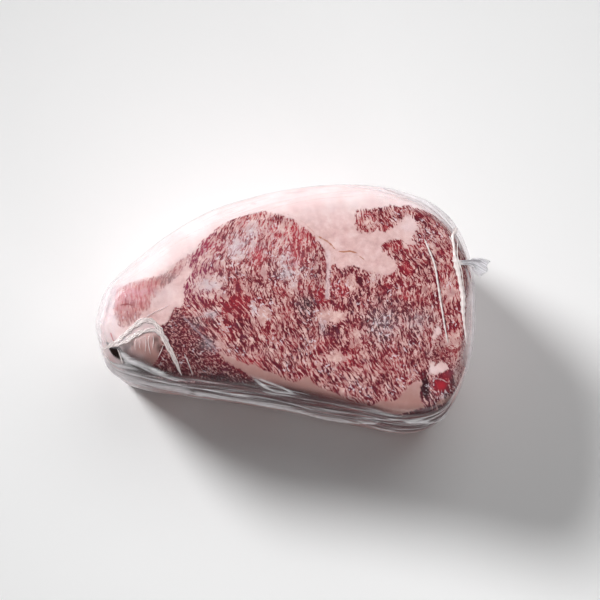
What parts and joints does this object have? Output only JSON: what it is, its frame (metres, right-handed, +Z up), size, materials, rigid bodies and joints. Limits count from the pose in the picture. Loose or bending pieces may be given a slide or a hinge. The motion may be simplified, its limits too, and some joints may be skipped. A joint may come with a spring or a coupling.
{
  "type": "vacuum-packed raw ribeye roll",
  "caption": "Block of raw, heavily marbled ribeye in a clear clinging vacuum bag, standing on a cut face, with a fat cap over its back, film pleats and a short gathered tail.",
  "frame": {"origin": "centre of the bounding box's underside, on the resting cut face", "axes": "+Z up from the resting cut face to the shown one; +X along the long side of the cut face, from the thin tail end of the cross-section to the chine end; +Y from the rib side to the fat cap"},
  "size_m": [0.2986, 0.1838, 0.1535],
  "materials": {
    "marbled_beef": "raw beef marbled red and cream under a clear, glossy, tightly clinging bag"
  },
  "bodies": {
    "root": {"vacuum_pack": "marbled_beef"}
  },
  "joints": []
}
